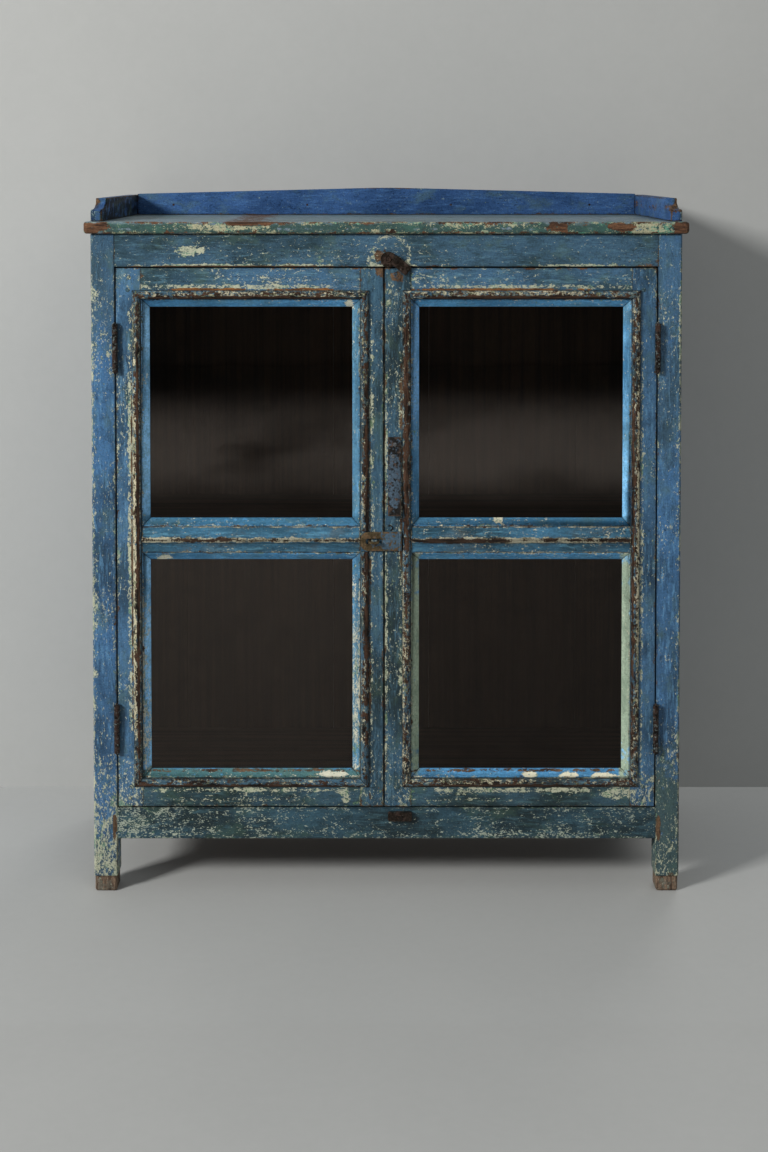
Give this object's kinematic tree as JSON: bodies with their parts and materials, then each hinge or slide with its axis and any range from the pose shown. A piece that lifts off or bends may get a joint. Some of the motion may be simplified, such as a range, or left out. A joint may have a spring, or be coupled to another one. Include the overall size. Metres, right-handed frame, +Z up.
{
  "type": "display cabinet",
  "caption": "Painted wooden display cabinet on square legs, with glazed doors, a shelf and a low gallery round its top, closed by a hasp and turn buttons.",
  "frame": {"origin": "middle of the outline, on the floor", "axes": "+X to the cabinet's right as seen from the front, +Y to its back, +Z up"},
  "size_m": [1.068, 0.455, 1.253],
  "materials": {
    "post_paint": "layers of blue paint, chipped to bare wood",
    "case_rail_paint": "layers of blue-green paint, worn",
    "side_paint": "blue paint, worn",
    "top_paint": "blue and cream paint, worn through along the edges",
    "gallery_paint": "deep blue paint with bare upper edges",
    "door_paint": "blue paint over pale green, worn",
    "moulding_paint": "blue paint worn to brown wood along the crown",
    "left_bead_paint": "sky blue paint",
    "right_bead_paint": "blue to sage green paint",
    "dark_wood": "bare wood, dark with age",
    "foot_wood": "bare worn wood",
    "hinge_iron": "dark iron, rusted and painted over",
    "hasp_iron": "tan and blue-grey, painted over and rubbed",
    "button_iron": "rusted iron with paint left on it",
    "pull_iron": "dark iron with paint left on it",
    "pane": "clear window glass, slightly dusty"
  },
  "bodies": {
    "case": {"front_left_post": "post_paint", "front_right_post": "post_paint", "rear_left_post": "post_paint", "rear_right_post": "post_paint", "front_left_foot": "foot_wood", "front_right_foot": "foot_wood", "rear_left_foot": "foot_wood", "rear_right_foot": "foot_wood", "front_top_rail": "case_rail_paint", "front_bottom_rail": "case_rail_paint", "rear_top_rail": "dark_wood", "rear_bottom_rail": "dark_wood", "left_top_rail": "side_paint", "left_bottom_rail": "side_paint", "right_top_rail": "side_paint", "right_bottom_rail": "side_paint", "left_side_panel": "side_paint", "right_side_panel": "side_paint", "back_boards": "dark_wood", "floor_board": "dark_wood", "shelf": "dark_wood", "shelf_bearers": "dark_wood", "door_stop": "dark_wood", "top_board": "top_paint", "gallery_left": "gallery_paint", "gallery_right": "gallery_paint", "gallery_back": "gallery_paint", "left_post_leaves": "hinge_iron", "right_post_leaves": "hinge_iron", "left_hinge_pins": "hinge_iron", "right_hinge_pins": "hinge_iron", "button_pivots": "button_iron"},
    "left_door": {"left_hinge_stile": "door_paint", "left_meeting_stile": "door_paint", "left_door_top_rail": "door_paint", "left_door_mid_rail": "door_paint", "left_door_bottom_rail": "door_paint", "left_door_moulding": "moulding_paint", "left_upper_bead": "left_bead_paint", "left_lower_bead": "left_bead_paint", "left_upper_glass": "pane", "left_lower_glass": "pane", "left_door_leaves": "hinge_iron", "hasp_staple": "hasp_iron"},
    "right_door": {"right_hinge_stile": "door_paint", "right_meeting_stile": "door_paint", "right_door_top_rail": "door_paint", "right_door_mid_rail": "door_paint", "right_door_bottom_rail": "door_paint", "right_door_moulding": "moulding_paint", "right_upper_bead": "right_bead_paint", "right_lower_bead": "right_bead_paint", "right_upper_glass": "pane", "right_lower_glass": "pane", "right_door_leaves": "hinge_iron", "pull_strap": "pull_iron", "hasp_plate": "hasp_iron"},
    "hasp": {"hasp_strap": "hasp_iron"},
    "upper_button": {"upper_turn_button": "button_iron"},
    "lower_button": {"lower_turn_button": "button_iron"}
  },
  "joints": [
    {"name": "left_door_hinge", "type": "hinge", "parent": "case", "child": "left_door", "pos_m": [-0.47925, -0.2158, 0.6355], "axis": [0, 0, -1], "range_deg": [0, 170]},
    {"name": "right_door_hinge", "type": "hinge", "parent": "case", "child": "right_door", "pos_m": [0.47925, -0.2158, 0.6355], "axis": [0, 0, 1], "range_deg": [0, 170]},
    {"name": "hasp_hinge", "type": "hinge", "parent": "right_door", "child": "hasp", "pos_m": [0.0245, -0.2141, 0.6315], "axis": [0, 0, 1], "range_deg": [0, 150]},
    {"name": "upper_button_pivot", "type": "hinge", "parent": "case", "child": "upper_button", "pos_m": [0.0037, -0.2105, 1.1317], "axis": [0, -1, 0], "continuous": true},
    {"name": "lower_button_pivot", "type": "hinge", "parent": "case", "child": "lower_button", "pos_m": [0.0242, -0.2105, 0.1381], "axis": [0, -1, 0], "continuous": true}
  ]
}
